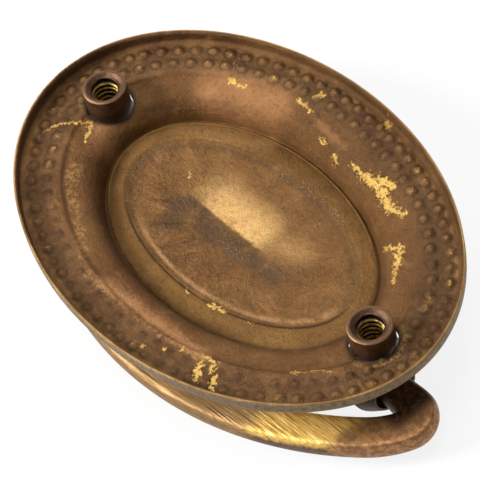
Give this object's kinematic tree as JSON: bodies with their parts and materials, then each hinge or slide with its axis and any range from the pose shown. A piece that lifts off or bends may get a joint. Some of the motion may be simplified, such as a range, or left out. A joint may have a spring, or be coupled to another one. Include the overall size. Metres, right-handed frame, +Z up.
{
  "type": "oval bail pull",
  "caption": "Oval pressed backplate with a beaded border, two round posts tapped from behind and a curved bail that swings in them, for a small door or a drawer.",
  "frame": {"origin": "in the wall plane, halfway between the two posts", "axes": "+X across through both posts, +Z up, the front faces -Y and the wall lies at y = 0"},
  "size_m": [0.0978, 0.0196, 0.0622],
  "materials": {
    "plate_brass": "dark brown patina, worn to bare metal in patches",
    "post_brass": "brown patina with bright threads",
    "bail_brass": "satin, filed flat on the back"
  },
  "bodies": {
    "mounting": {"backplate": "plate_brass", "left_post": "post_brass", "right_post": "post_brass"},
    "swinging_bail": {"bail": "bail_brass"}
  },
  "joints": [
    {"name": "bail_swing", "type": "hinge", "parent": "mounting", "child": "swinging_bail", "pos_m": [0, -0.0124, 0], "axis": [-1, 0, 0], "range_deg": [-20, 188]}
  ]
}
